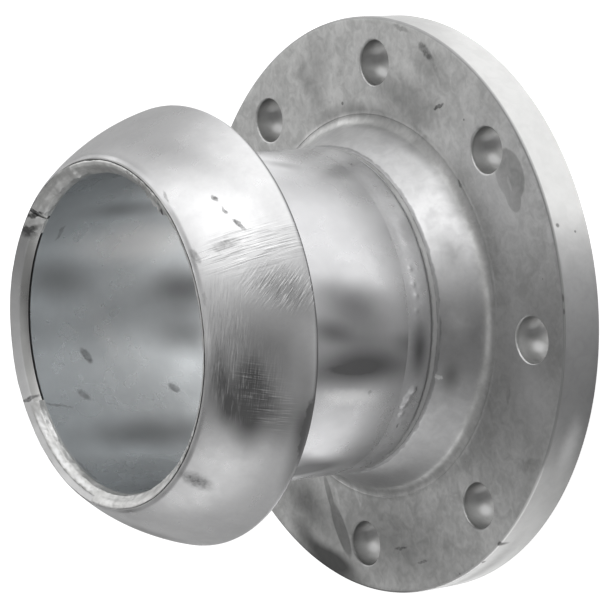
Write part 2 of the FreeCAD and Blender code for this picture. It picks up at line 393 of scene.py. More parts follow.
def clouds(tree, place, size, detail=2.0, roughness=0.5, shift=(0, 0, 0), twist=0.0):
    """A noise pattern whose lumps are about this many millimetres across."""
    moved = node(tree, "ShaderNodeMapping", {"Vector": place, "Location": shift}).outputs[0]
    sources = {
        "Vector": moved, "Scale": 1 / (size * MM), "Detail": detail,
        "Roughness": roughness, "Distortion": twist,
    }
    return node(tree, "ShaderNodeTexNoise", sources).outputs["Fac"]


# ---- finishes

def at(radius, angle, height):
    """A place by its distance from the pipe's axis, its angle in degrees and its height."""
    turned = math.radians(angle)
    return (radius * math.cos(turned), radius * math.sin(turned), height)


def on_face(*rows):
    """Marks on the flange's face, given by x and y of both ends before the rest."""
    top = FLANGE_THICKNESS
    return [((x, y, top), (to_x, to_y, top), *rest) for x, y, to_x, to_y, *rest in rows]


def around(radius, *rows):
    """Marks at one distance from the axis, given by angle and height of both ends."""
    return [
        (at(radius, angle, height), at(radius, to_angle, to_height), *rest)
        for angle, height, to_angle, to_height, *rest in rows
    ]


def on_surface(start, end, facing):
    """Middle and rotation of a frame on the surface whose first axis runs from start to end."""
    start, end = Vector(start) * MM, Vector(end) * MM
    middle = (start + end) / 2
    out = facing(middle).normalized()
    across = out.cross(end - start).normalized()
    along = across.cross(out).normalized()
    turned = Matrix((along, across, out)).transposed().to_euler()
    return middle, turned, (end - start).length


# How far a spot and a scratch reach through the surface, in millimetres.
SPOT_DEPTH = 8.0
SCRATCH_DEPTH = 40.0


def spot(tree, place, start, end, width, facing, core=0.5):
    """1 inside a long spot between two places on the surface, fading to 0 at its edge."""
    middle, turned, length = on_surface(start, end, facing)
    half = ((length + width * MM) / 2, width * MM / 2, SPOT_DEPTH * MM)
    return ramp(tree, length_of(tree, framed(tree, place, middle, half, turned)), 1.0, core)


def streaks(tree, place, start, end, facing, length, pitch):
    """Fine scratches that run from start towards end: 1 on a light one and -1 on a dark one."""
    middle, turned, _ = on_surface(start, end, facing)
    size = (length * MM, pitch * MM, SCRATCH_DEPTH * MM)
    local = framed(tree, place, middle, size, turned)
    sources = {"Vector": local, "Scale": 1.0, "Detail": 2.0, "Roughness": 0.7}
    lines = node(tree, "ShaderNodeTexNoise", sources).outputs["Fac"]
    return maths(tree, "SUBTRACT", ramp(tree, lines, 0.53, 0.66), ramp(tree, lines, 0.47, 0.36))


def total(tree, shares):
    """Sum of several (share, strength) pairs."""
    result = 0.0
    for share, strength in shares:
        result = maths(tree, "MULTIPLY_ADD", share, strength, result)
    return result


def marks(tree, place, places, facing):
    """Strength of the strongest of several spots: (start, end, width, strength, core)."""
    result = 0.0
    for start, end, width, strength, *core in places:
        share = spot(tree, place, start, end, width, facing, *core)
        result = maths(tree, "MAXIMUM", result, times(tree, share, strength))
    return result


def shading(tree, place, places, facing):
    """Sum of broad soft areas: (start, end, width, strength)."""
    return total(
        tree,
        [(spot(tree, place, start, end, width, facing, 0.0), strength)
         for start, end, width, strength in places],
    )


def pits(tree, place, spacing, size):
    """1 on small pits scattered about this many millimetres apart."""
    cells = node(tree, "ShaderNodeTexVoronoi", {"Vector": place, "Scale": 1 / (spacing * MM)})
    chosen = node(tree, "ShaderNodeSeparateColor", {0: cells.outputs["Color"]}).outputs[0]
    reach = ramp(tree, chosen, 0.55, 1.0, 0.001, size / spacing)
    near_centre = maths(tree, "DIVIDE", cells.outputs["Distance"], reach)
    return ramp(tree, near_centre, 1.0, 0.5)


METALLIC = 0.9
# Spacing and size of the small pits, and size and reach of the tears in torn outlines.
PIT_SPACING = 17.0
PIT_SIZE = 1.5
TEAR_SIZE = 3.0
TEAR_REACH = 2.6
# How dark a full dark mark is beside the dark zinc, and how much duller it is, for stain marks and
# painted shade alike.
DARK_MARK_LEVEL = 0.3
DARK_MARK_DULLNESS = 0.18
# Strength of light and of dark scratches, and depth of the skin texture in millimetres.
LIGHT_SCRATCHES = 1.3
DARK_SCRATCHES = -0.5
SKIN_DEPTH = 0.15


def zinc(name, dark, light, gloss, facing, mottle=(26.0, 6.5, 1.6), amounts=(0.6, 0.3, 0.12),
         twist=0.4, spread=0.04, shades=(), crisp_marks=(), stains_and_shadows=(), scuffs_and_highlights=(), fields=(),
         tint=None, bump=0.5, pitting=0.5, paler_level=0.88):
    """Hot-dip zinc: mottled colour, uneven gloss, a faint skin texture and its own marks.

    mottle and amounts are the sizes and shares of its three patterns, twist how much they
    swirl and spread how much the gloss varies. shades are broad soft darker areas, on several
    pieces painted shade and painted reflection: (start, end, width, strength). crisp_marks are
    thin dark runs and spots with a crisp outline, stains_and_shadows darken and
    scuffs_and_highlights lighten with a torn one: (start, end, width, strength, core); on the
    ball, the welds and in the bore these hold painted shade, shadows and highlights beside real
    stain and scuff marks. fields are patches of fine scratches: (start, end, width, scratch
    from, scratch to, length, pitch, strength). tint changes colour and roughness in some
    areas, in places as painted shade and light, and paler_level is how light a lightened mark is.
    """
    material = bpy.data.materials.new(name)
    material.use_nodes = True
    tree = material.node_tree
    shader = tree.nodes["Principled BSDF"]
    shader.inputs["Metallic"].default_value = METALLIC
    place = node(tree, "ShaderNodeTexCoord").outputs["Object"]

    broad = clouds(tree, place, mottle[0], 3.0, 0.55, shift=(0.3, 0.1, 0.2), twist=twist)
    patchy = clouds(tree, place, mottle[1], 2.5, 0.55, shift=(0.7, 0.4, 0.9), twist=twist)
    grainy = clouds(tree, place, mottle[2], 2.0, 0.6)
    share = total(tree, zip((broad, patchy, grainy), amounts))
    share = ramp(tree, share, 0.3 * sum(amounts), 0.7 * sum(amounts))
    colour = mix(tree, share, dark, light)
    rough = ramp(tree, patchy, 0.3, 0.7, gloss + spread, gloss - spread)
    if tint:
        colour, rough = tint(tree, place, colour, rough)

    sources = {"Vector": place, "Scale": 1 / (TEAR_SIZE * MM), "Detail": 3.0}
    ragged = node(tree, "ShaderNodeTexNoise", sources)
    wander = vectors(tree, "SUBTRACT", ragged.outputs["Color"], (0.5, 0.5, 0.5))
    torn = vectors(tree, "MULTIPLY_ADD", wander, (TEAR_REACH * MM,) * 3, place)
    speck = ramp(tree, grainy, 0.35, 0.62, 1.2, 0.8)
    darker = times(tree, marks(tree, torn, stains_and_shadows, facing), speck)
    darker = maths(tree, "MAXIMUM", darker, marks(tree, place, crisp_marks, facing))
    darker = maths(tree, "ADD", darker, shading(tree, place, shades, facing))
    paler = marks(tree, torn, scuffs_and_highlights, facing)
    scratches = 0.0
    for start, end, width, line_start, line_end, length, pitch, strength in fields:
        inside = spot(tree, torn, start, end, width, facing, 0.3)
        lines = streaks(tree, place, line_start, line_end, facing, length, pitch)
        lines = times(tree, lines, inside)
        scratches = maths(tree, "MULTIPLY_ADD", lines, strength, scratches)
    if fields:
        light_lines = maths(tree, "MAXIMUM", times(tree, scratches, LIGHT_SCRATCHES), 0.0)
        paler = maths(tree, "ADD", paler, light_lines)
        dark_lines = maths(tree, "MAXIMUM", times(tree, scratches, DARK_SCRATCHES), 0.0)
        darker = maths(tree, "ADD", darker, dark_lines)
    hollow = times(tree, pits(tree, place, PIT_SPACING, PIT_SIZE), pitting)
    darker = maths(tree, "MAXIMUM", darker, hollow, clamp=True)
    colour = mix(tree, darker, colour, tuple(part * DARK_MARK_LEVEL for part in dark))
    colour = mix(tree, maths(tree, "MINIMUM", paler, 1.0), colour, (paler_level,) * 3)
    rough = maths(tree, "MULTIPLY_ADD", darker, DARK_MARK_DULLNESS, rough)
    tree.links.new(colour, shader.inputs["Base Color"])
    tree.links.new(rough, shader.inputs["Roughness"])

    skin = total(
        tree, [(broad, 0.7), (patchy, 0.5), (grainy, 0.16), (darker, -0.5), (scratches, 0.8)]
    )
    sources = {"Height": skin, "Strength": bump, "Distance": SKIN_DEPTH * MM}
    relief = node(tree, "ShaderNodeBump", sources)
    tree.links.new(relief.outputs[0], shader.inputs["Normal"])
    return material


def where(tree, place):
    """Distance from the pipe's axis and height of a place."""
    radius = length_of(tree, vectors(tree, "MULTIPLY", place, (1, 1, 0)))
    return radius, node(tree, "ShaderNodeSeparateXYZ", {0: place}).outputs["Z"]


# Inside the bore the zinc is made paler as painted light, and a little bluer.
BORE_INSIDE = (77.0, 76.0)
BORE_LIGHT_AND_BLUE = (1.14, 1.18, 1.185)


def bore_light_and_tint(tree, place, colour, rough):
    """The zinc inside the bore is paler as painted light, and a little bluer than outside."""
    inside = fade(tree, where(tree, place)[0], BORE_INSIDE)
    return mix(tree, inside, colour, mix(tree, 1.0, colour, BORE_LIGHT_AND_BLUE, "MULTIPLY")), rough


# Spans in millimetres over which the lip's finish and its painted shade set in. The sheared
# edge lies where the height less LIP_SLOPE times the distance from the axis is within LIP_FACE.
LIP_SLOPE = 0.855
LIP_FACE = (108.6, 109.4)
LIP_TOP = (176.0, 176.8)
# The inner bevel, the ball's back edge beside the pipe and one side of the sheared edge are
# darkened as painted shade.
BEVEL_HEIGHT = (176.6, 175.8)
BEVEL_RADIUS = (78.4, 77.8)
BACK_EDGE_SHADE = (136.0, 134.4)
SHADED_SIDE = (20.0, 60.0)


def lip_tint(tree, place, colour, rough):
    """The sheared edge of the lip is paler and duller than the ball, its inner bevel darker as
    painted shade.

    On one side the sheared edge is darker as painted shade, and the ball is darkened along its
    back edge, beside the pipe, as painted shade.
    """
    radius, height = where(tree, place)
    rise = maths(tree, "MULTIPLY_ADD", radius, -LIP_SLOPE, height)
    edge = times(tree, fade(tree, rise, LIP_FACE), fade(tree, height, LIP_TOP))
    # Painted shade on the inner bevel, then along the ball's back edge beside the pipe.
    bevel = times(tree, fade(tree, height, BEVEL_HEIGHT), fade(tree, radius, BEVEL_RADIUS))
    colour = mix(tree, bevel, colour, (0.52, 0.52, 0.51))
    back = times(tree, fade(tree, height, BACK_EDGE_SHADE), 0.7)
    colour = mix(tree, back, colour, (0.16, 0.16, 0.165))
    pale = mix(tree, 0.3, colour, (0.80, 0.80, 0.79))
    # Painted shade on one side of the sheared edge.
    x = node(tree, "ShaderNodeSeparateXYZ", {0: place}).outputs["X"]
    side_shade = mix(tree, fade(tree, x, SHADED_SIDE, 0.0, 0.6), pale, (0.40, 0.40, 0.40))
    return mix(tree, edge, colour, side_shade), maths(tree, "MULTIPLY_ADD", edge, 0.3, rough)


# Painted shade and painted highlight on the wall of each bolt hole, dark above and bright low
# down: angle round the hole and height, half width in degrees, half height in millimetres,
# strength and how light the painted colour is there.
HOLE_LIGHT_AND_SHADE = [
    (62, 11, 30, 16, 0.85, 0.17),
    (10, 19.5, 60, 6, 0.7, 0.2),
    (42, 12.5, 14, 5, 0.5, 0.5),
    (99, 9, 22, 5.5, 0.9, 0.8),
    (80, 17, 60, 5, 0.4, 0.35),
]


def paint_hole_light(tree, place, colour):
    """Zinc on the walls of the bolt holes, with patches of painted shade and painted highlight."""
    x, y, z = node(tree, "ShaderNodeSeparateXYZ", {0: place}).outputs
    step = FULL_TURN / HOLE_COUNT
    share = maths(tree, "MULTIPLY_ADD", maths(tree, "ARCTAN2", y, x), 1 / step, -0.5)
    hole = maths(tree, "MULTIPLY_ADD", maths(tree, "ROUND", share), step, step / 2)
    reach = -BOLT_CIRCLE_RADIUS * MM
    aside_x = maths(tree, "MULTIPLY_ADD", maths(tree, "COSINE", hole), reach, x)
    aside_y = maths(tree, "MULTIPLY_ADD", maths(tree, "SINE", hole), reach, y)
    angle = maths(tree, "ARCTAN2", aside_y, aside_x)
    wall = node(tree, "ShaderNodeCombineXYZ", {0: angle, 1: z}).outputs[0]
    for turned, height, half_width, half_height, strength, light in HOLE_LIGHT_AND_SHADE:
        middle = (math.radians(turned), height * MM, 0.0)
        size = (math.radians(half_width), half_height * MM, 1.0)
        far = length_of(tree, framed(tree, wall, middle, size))
        colour = mix(tree, ramp(tree, far, 1.0, 0.2, 0.0, strength), colour, (light,) * 3)
    return colour


# The rim is darker round one angle, in degrees, partly tarnished and partly painted shade for the
# shadows of its lettering, and its front edge has a painted highlight round another, where the
# distance that way is over these shares of the radius; elsewhere the edge is darker.
TARNISH_AND_SHADE_SIDE = -113.0
TARNISH_AND_SHADE_REACH = 28.0
TARNISH_AND_SHADE_FULL = 0.995
EDGE_HIGHLIGHT_SIDE = -162.0
EDGE_HIGHLIGHT_SHARES = (0.87, 0.93)
# Spans in millimetres over which the flange's finishes and its painted shade and light set in:
# heights, distances from the axis, and for FRONT_EDGE their sum. The painted dark lines beside
# the land wander by LINE_WANDER.
NECK_HEIGHT = (23.0, 27.0)
LAND = (44.6, 45.4)
LINE_WANDER = 2.0
# Painted shade: a dark line along the taper's top edge, and in the groove beside the neck weld.
LOWER_LINE = ((43.2, 43.9), (45.4, 44.5))
GROOVE_SHADE = (46.9, 47.8)
RIM = (141.2, 142.2)
FRONT_EDGE = (163.1, 163.6)
HOLE_RING = ((104.0, 107.0), (136.0, 133.0))
HOLE_DEPTH = (21.6, 20.6)
# Painted shade at the neck weld's toe in the groove, then the near-black colour of all this
# painted shade in the lines and grooves.
WELD_GROOVE_SHADE = (49.5, 48.9)
PAINTED_SHADE_COLOUR = (0.08, 0.08, 0.085)


def flange_tint(tree, place, colour, rough):
    """Zinc of the neck, the rim, the bolt holes and the land beside the neck weld, with painted
    shade and painted highlights on the rim, its front edge, the bolt holes and the lines by the
    land.
    """
    radius, height = where(tree, place)
    neck = fade(tree, height, NECK_HEIGHT)
    colour = mix(tree, neck, colour, mix(tree, 0.6, colour, (0.56, 0.56, 0.572)))
    rough = maths(tree, "MULTIPLY_ADD", neck, -0.1, rough)

    colour = mix(tree, times(tree, fade(tree, height, LAND), 0.5), colour, (0.86, 0.86, 0.86))
    # Painted shade: a dark line along the taper's top edge, and darkening in the groove beside the
    # neck weld.
    lowered = maths(tree, "SUBTRACT", height, LINE_WANDER * MM / 2)
    uneven = maths(tree, "MULTIPLY_ADD", clouds(tree, place, 5.0), LINE_WANDER * MM, lowered)
    line = times(tree, fade(tree, uneven, LOWER_LINE[0]), fade(tree, uneven, LOWER_LINE[1]))
    groove = times(tree, fade(tree, uneven, GROOVE_SHADE), 0.4)
    colour = mix(tree, maths(tree, "MULTIPLY_ADD", line, 0.42, groove), colour, PAINTED_SHADE_COLOUR)

    # The rim is darker round one side, partly tarnished and partly painted shade for the shadows
    # of its lettering.
    side = aligned(tree, place, at(1.0, TARNISH_AND_SHADE_SIDE, 0.0))
    reach = math.cos(math.radians(TARNISH_AND_SHADE_REACH)) * FLANGE_RADIUS * MM
    tarnish_and_shade = ramp(tree, side, reach, FLANGE_RADIUS * MM * TARNISH_AND_SHADE_FULL)
    rim_colour = mix(tree, tarnish_and_shade, (0.64, 0.64, 0.635), (0.32, 0.32, 0.325))
    colour = mix(tree, times(tree, fade(tree, radius, RIM), 0.85), colour, rim_colour)

    # The front edge: a painted highlight round one side, darker elsewhere.
    edge = fade(tree, maths(tree, "ADD", radius, height), FRONT_EDGE)
    worn_from, worn_to = (share * FLANGE_RADIUS * MM for share in EDGE_HIGHLIGHT_SHARES)
    highlit_side = ramp(tree, aligned(tree, place, at(1.0, EDGE_HIGHLIGHT_SIDE, 0.0)), worn_from, worn_to)
    edge_colour = mix(tree, highlit_side, (0.40, 0.40, 0.40), (0.92, 0.92, 0.915))
    colour = mix(tree, times(tree, edge, 0.9), colour, edge_colour)

    # The walls of the bolt holes are darkened as painted shade, then given painted shade and
    # painted highlight patches.
    ring = times(tree, fade(tree, radius, HOLE_RING[0]), fade(tree, radius, HOLE_RING[1]))
    wall = times(tree, ring, fade(tree, height, HOLE_DEPTH))
    painted_walls = paint_hole_light(tree, place, mix(tree, 0.6, colour, (0.36, 0.36, 0.355)))
    return mix(tree, wall, colour, painted_walls), rough


def neck_weld_tint(tree, place, colour, rough):
    """Painted shade in the groove at the neck weld's toe."""
    groove_shade = times(tree, fade(tree, where(tree, place)[1], WELD_GROOVE_SHADE), 0.5)
    return mix(tree, groove_shade, colour, PAINTED_SHADE_COLOUR), rough


# The marks of each piece, as zinc takes them: places in millimetres on its surface.
FLANGE_SHADES = on_face(
    (134, -7, 112, 4, 30, 0.3),
    (126, 14, 96, -4, 15, 0.2),
    (104, -40, 72, -84, 30, 0.45),
    (131, 9.8, 118, 10.4, 14, 0.25),
    (98, -8, 90, -32, 14, 0.4),
    (-98, 112, -138, 52, 34, 1),
    (-70, 98, -88, 78, 36, 0.6),
    (-92, 72, -132, -20, 70, 0.5),
    (-86, 94, -116, 68, 46, 0.2),
    (80, -60, 68, -76, 14, 0.3),
    (104, -78, 88, -92, 22, 0.3),
    (98, 6, 96, -10, 14, 0.35),
) + [
    # Painted shade over the fillet at the neck's foot, where the light gives a bright band.
    ((92, -26, 23), (72, -58, 23), 22, 0.65),
    ((76, -52, 23), (46, -80, 23), 18, 0.65),
    ((52, -74, 23), (8, -92, 23), 14, 0.5),
    (at(134, 129, 22), at(136, 142, 22), 15, 0.5),
    (at(136, 139, 22), at(137, 156, 22), 13, 0.5),
    (at(142.5, -156, 12), at(142.5, -186, 12), 26, 0.5),
    (at(84, -123, 40), at(86, -132, 36), 13, 0.75),
    (at(85, -84, 38), at(87, -92, 32), 14, 0.25),
]
FLANGE_FILMS = on_face(
    (34, -122, 27, -123.5, 20, 0.4, 0.88),
    (25.5, -121.5, 17.5, -121.8, 11, 0.4, 0.88),
    (-72, 67, -92, 65.5, 5, 0.4, 0.7),
    (-88, 65.5, -112, 61, 10, 0.4, 0.75),
) + [
    (at(142, -102.6, 21.7), at(142, -104.4, 21.7), 0.9, 0.8, 0.4),
    (at(142, -105.4, 21.7), at(142, -106.6, 21.7), 0.9, 0.7, 0.4),
    (at(142, -157, 21.8), at(142, -157.8, 21.8), 2.2, 0.8, 0.4),
]
FLANGE_STAINS = on_face(
    (107.4, -82.5, 99, -88, 6, 0.55),
    (97.9, -88.4, 84.7, -90.6, 3, 0.14),
    (75.6, -81.6, 75.8, -88.8, 2.4, 0.8),
    (38.8, -86.6, 35, -87.5, 2.2, 0.7),
    (-118.3, 24, -119.3, 14, 1.8, 0.35),
    (-128.2, 9, -128.7, 1, 1.8, 0.35),
    (-99.9, -82.1, -101.5, -98.1, 8, 0.2),
    (-62, -88, -70, -84, 3, 0.25),
    (123.5, -66.3, 116.1, -76.3, 3, 0.3),
    (122, -27, 110, -14, 8, 0.16, 0.1),
    (76, -61, 60, -75, 5, 0.2, 0.2),
)
FLANGE_SCUFFS = on_face(
    (31.5, -120.5, 21.5, -121.5, 2.4, 0.3),
    (-36, -104, -88, -100, 40, 0.5, 0),
    (46, -102, 0, -118, 36, 0.4, 0),
    (-79, 60.5, -88, 60, 3, 0.3),
    (-74, 46, -93, 43, 3, 0.3),
    (18, -104, 6, -116, 16, 0.4, 0),
) + [
    (at(80.9, -127.5, 44.4), at(80.9, -128.6, 43.2), 1.8, 0.95),
    (at(142.5, -128, 9), at(142.5, -138, 9), 18, 0.7, 0),
    (at(84, -107, 38), at(86, -113, 34), 14, 0.55, 0),
]
BALL_SHADES = [
    ((-34, -78, 175), (-62, -69, 164), 28, 0.85),
    ((-36, -85, 163), (-46, -81, 164), 18, 0.4),
    ((-57, -74, 160), (-68, -66, 160), 22, 0.5),
    ((-50, -72, 171), (-58, -68, 170), 12, 0.35),
    ((-50, -77, 164), (-72, -78, 138), 34, 0.6),
    # Painted shade along the back edge, beside the pipe.
    (at(104, -110, 140), at(104, -132, 138), 20, 0.4),
    ((-36, -87, 164), (-56, -82, 156), 22, 0.75),
    (at(90, 158, 168), at(99, 168, 150), 26, 0.5),
    # Painted shade along the back edge, beside the pipe.
    (at(104, -124, 136), at(104, -152, 134), 18, 1),
    ((0, -99, 152), (-18, -102, 138), 28, 0.45),
    # Painted shade over the band by the mouth that the light makes bright.
    (at(84.5, 2, 177.6), at(84.5, -28, 177.6), 8, 0.35),
    (at(84.5, -22, 177.6), at(84.5, -50, 177.6), 8, 0.3),
    ((2, -96, 158), (-40, -90, 154), 48, 0.12),
]
BALL_STAINS_AND_SHADOWS = [
    # Painted shade in the crevices beside the tack weld.
    (at(75.5, 26.4, 176), at(82, 31.6, 180.4), 2.8, 1.1, 0.3),
    (at(75.5, 33.4, 176), at(82, 37.6, 180.4), 3.8, 1.1, 0.3),
    # Painted shade along the lip's outer edge, beside the weld.
    (at(81.2, -6, 180), at(81.2, -32, 180), 3, 0.5, 0.2),
    (at(76, 99, 176), at(79.5, 99, 179), 2.4, 0.75),
    ((40.5, -84.4, 162.4), (38.2, -85.8, 161.8), 2.2, 0.75),
    ((34.4, -87.7, 161.3), (30.5, -89.6, 160.4), 2, 0.7),
    ((27.7, -91.1, 159.4), (21.4, -94.4, 156.4), 2.6, 0.75),
    ((16, -87, 171), (17.5, -92.5, 161), 8, 0.5, 0.1),
    ((17.6, -81, 178.2), (11.4, -83.2, 176.9), 4, 0.50),
    ((49.1, -68.2, 176.8), (41.9, -72, 177.7), 1.8, 0.45),
    ((-75, -37, 177), (-82, -39, 168), 12, 0.8, 0.1),
    # Painted shade along the back edge, beside the pipe.
    (at(105, -121, 134.8), at(105, -142, 133.6), 8, 1.1, 0.3),
    ((-7.6, -104.3, 133.3), (-10.7, -104, 133.4), 2.6, 0.85),
    ((-2, -83, 178), (-9, -82.6, 178), 2, 0.25),
    ((-20, -84, 173.5), (-50, -70, 173.5), 9, 0.26, 0.1),
]
# Patches of scratches on the ball: patch from, to and width, a scratch from and to, the
# scratches' length and width, and how strong they are.
BALL_FIELDS = [
    ((12, -86, 172), (15, -103, 135), 30,
     (11.3, -83.4, 176.5), (16.3, -103.2, 133.8), 24, 0.9, 0.7),
    ((-4, -95, 158), (-10, -103.5, 136), 30,
     (-11.7, -97.1, 153.8), (-0.2, -102, 143), 10, 0.8, 0.6),
    ((-2, -88, 171), (-54, -74, 168), 34,
     (-7.8, -87.9, 171), (-56.5, -65, 174), 12, 0.8, 0.42),
    ((-28, -88, 165), (-56, -82, 155), 34,
     (-26, -89, 164), (-60, -70, 166), 9, 0.7, 0.2),
    ((-40, -84, 164), (-64, -80, 148), 30,
     (-43.8, -77, 170.6), (-51.8, -86.5, 146.3), 18, 0.7, 0.34),
]
# Painted reflection and painted shade: the rows round the outside paint the dark band down the
# pipe's lower side, where it reflects dark surroundings, and the rows in the bore its shade.
PIPE_PAINTED_SHADE = around(
    PIPE_RADIUS,
    (-36, 100, -42, 88, 14, 0.4),
    (-95, 116, -103, 74, 30, 0.75),
    (-106, 122, -118, 62, 38, 0.6),
    (-120, 138, -124.5, 48, 27, 0.95),
    (-106, 118, -110, 98, 16, 0.4),
    (-114, 68, -117, 50, 16, 0.5),
    (-157, 118, -162, 94, 16, 0.55),
    (-170, 126, -168, 66, 34, 1.3),
) + [
    ((34, 66.8, 102), (31, 68.3, 62), 36, 0.8),
    ((14, 73.5, 98), (9.3, 74.4, 68), 34, 0.55),
    (at(75, 118, 165), at(75, 123, 84), 34, 0.65),
    ((46, 59.2, 176), (38, 64.6, 140), 36, 0.6),
    ((67, 33.7, 156), (67, 33.7, 104), 18, 0.5),
]
PIPE_STAINS = around(
    PIPE_RADIUS,
    (-149.4, 59.6, -149.8, 61, 1.8, 0.6),
    (-67.5, 60.6, -68.2, 61.6, 1.6, 0.5),
    # A streak in the painted dark band.
    (-120.5, 112, -123.5, 80, 6, 0.22, 0.1),
) + [
    ((8.2, 74.6, 143.9), (2.3, 75, 139.9), 5, 0.6),
    ((-12.5, 74, 150.6), (-16, 73.3, 147.2), 4, 0.45),
    ((-15, 73.5, 97.7), (-17, 73.1, 94.9), 5, 0.55),
    ((-15.6, 73.4, 174), (-20.3, 72.2, 156.4), 1.6, 0.4),
    ((63.2, 40.4, 160.6), (57.9, 47.7, 162.7), 2.6, 0.35),
    ((-46, 59.5, 171), (-61.6, 43, 170.5), 2.6, 0.35),
]
# The broad soft rows are painted light: in the bore, and outside below the dark band as a painted
# reflection of a bright patch; the thin rows in the bore are scratches.
PIPE_SCUFFS_AND_LIGHT = [
    ((55, 51, 152), (54, 52.2, 84), 32, 1, 0.2),
    ((31, 68.3, 138), (0, 75, 120), 18, 0.3, 0),
    (at(79.5, -130, 112), at(79.5, -134, 74), 12, 0.6, 0.2),
    ((-45.2, 59.8, 171.7), (-54.5, 51, 172.6), 1.2, 0.6, 0.4),
    ((-55.5, 50.4, 172.4), (-62.1, 42.1, 173.6), 1.2, 0.5, 0.4),
    ((72.5, 19, 118), (72.5, 19, 140), 14, 0.3, 0),
]
# Painted reflection: the pipe's dark band carried on over the weld.
NECK_WELD_PAINTED_REFLECTION = around(80, (-108, 56, -127, 55, 18, 1))
NECK_WELD_STAINS = around(
    80, (-146.5, 56.4, -148, 56.4, 1.6, 0.6), (-131, 53.6, -134, 54.4, 1.4, 0.5),
)
MOUTH_WELD_SHADOWS_AND_STAINS = [
    # Painted shade in the crevices beside the tack weld.
    (at(75, 26, 175.6), at(82, 31.6, 180.4), 2.8, 1.1, 0.3),
    (at(75, 33, 175.6), at(82, 37.6, 180.4), 3.8, 1.1, 0.3),
    # Painted shadow lines along the bead's outer toe.
    (at(80.6, -30, 179.8), at(80.9, -60, 180), 0.9, 0.5),
    (at(80.6, 200, 179.8), at(80.9, 235, 180), 0.9, 0.5),
    (at(75.5, 96, 175), at(77.5, 97.5, 177), 2, 0.6),
]
MOUTH_WELD_SHADES = [
    (at(79.6, 104, 178.6), at(79.6, 122, 178.6), 4, 0.5),
    (at(79.6, 118, 178.6), at(79.6, 138, 178.6), 4, 0.5),
    (at(79.8, 134, 178.8), at(79.8, 154, 178.8), 4, 0.5),
]
MOUTH_WELD_DARK_SPOTS = [
    # A painted shadow in the gap between the drip and the lip.
    ((40.2, -61.4, 176.3), (39.6, -62.2, 176.3), 2.4, 1, 0.5),
    # A dark dot on the drip.
    ((45.1, -58, 176), (44.7, -58.5, 176), 1.2, 0.6, 0.3),
]
MOUTH_WELD_HIGHLIGHTS = [
    # A painted highlight on the drip, which faces the dark bore.
    ((49, -54, 175.5), (41.5, -60.8, 176), 5, 1, 0.3),
    # A painted highlight along the crest of the bead.
    (at(76.4, 102, 176.8), at(76.3, 121, 176.8), 2.4, 0.9, 0.3),
    (at(76.3, 117, 176.8), at(76.6, 137, 176.8), 2.4, 0.9, 0.3),
    (at(76.6, 133, 176.8), at(77.4, 151, 176.8), 2.4, 0.7, 0.3),
]


# ---- pieces

def make_flange(material):
    flange = turn(
        "flange_with_neck",
        [
            (BORE_RADIUS, 0.0), (FLANGE_RADIUS, 0.0), (FLANGE_RADIUS, FLANGE_THICKNESS),
            *TURNED_RING, NECK_FOOT, TAPER_TOP, (PIPE_RADIUS, LAND_START), *NECK_GROOVE,
            (PIPE_RADIUS, NECK_BEVEL_EDGE), (ROOT_RADIUS, NECK_END), (BORE_RADIUS, NECK_END),
        ],
        PLAIN_STEPS,
        rounds=[
            ((FLANGE_RADIUS, 0.0), FLANGE_EDGE_ROUND, 4),
            ((FLANGE_RADIUS, FLANGE_THICKNESS), FLANGE_EDGE_ROUND, 4),
            (NECK_FOOT, NECK_FOOT_ROUND, 8),
            (TAPER_TOP, TAPER_TOP_ROUND, 2),
        ],
    )
    roughen(flange, 30.0, 0.14, detail=2)

    edge = HOLE_RADIUS + HOLE_EDGE_ROUND
    low = arc((edge, HOLE_EDGE_ROUND), HOLE_EDGE_ROUND, 270, 180, 4)
    high = arc((edge, FLANGE_THICKNESS - HOLE_EDGE_ROUND), HOLE_EDGE_ROUND, 180, 90, 4)
    bottom, top = -CUTTER_REACH, FLANGE_THICKNESS + CUTTER_REACH
    wall = [(edge + CUTTER_FLARE, bottom), *low, *high, (edge + CUTTER_FLARE, top)]
    cutter = draw_section("bolt_hole_cutter", [(0.0, bottom), *wall, (0.0, top)], pitch=4.0)
    bpy.ops.mesh.spin(steps=HOLE_STEPS, angle=FULL_TURN, center=(0, 0, 0), axis=(0, 0, 1))
    bpy.ops.mesh.select_all(action="SELECT")
    bpy.ops.transform.translate(value=(BOLT_CIRCLE_RADIUS * MM, 0, 0))
    clean_up()
    rotate(180 / HOLE_COUNT)
    bpy.ops.mesh.spin(
        steps=HOLE_COUNT, dupli=True, angle=FULL_TURN, center=(0, 0, 0), axis=(0, 0, 1)
    )
    clean_up()
    bpy.ops.object.mode_set(mode="OBJECT")
    finish_with(flange, "BOOLEAN", operation="DIFFERENCE", solver="EXACT", object=cutter)
    bpy.data.objects.remove(cutter)
    smooth(flange)
    hand_over(flange, "weld_neck_flange", material)


def make_pipe(material):
    pipe = turn(
        "pipe_length",
        [
            (BORE_RADIUS, PIPE_START), (ROOT_RADIUS, PIPE_START), (PIPE_RADIUS, PIPE_BEVEL_EDGE),
            (PIPE_RADIUS, PIPE_END), (BORE_RADIUS, PIPE_END),
        ],
        PLAIN_STEPS,
        pitch=3.5,
    )
    roughen(pipe, 45.0, 0.14, middle=0.5)
    smooth(pipe)
    hand_over(pipe, "pipe_stub", material)


# Outline of the neck weld's bead: steep beside the flange's neck, flat out on to the pipe.
NECK_BEAD = [
    (79.05, 48.82), (79.75, 48.9), (79.98, 49.15), (80.06, 49.7), (80.04, 51.0),
    (79.98, 52.6), (79.9, 54.2), (79.8, 55.8), (79.7, 57.4), (79.6, 59.0), (79.54, 60.6),
    (PIPE_RADIUS, 62.4),
]
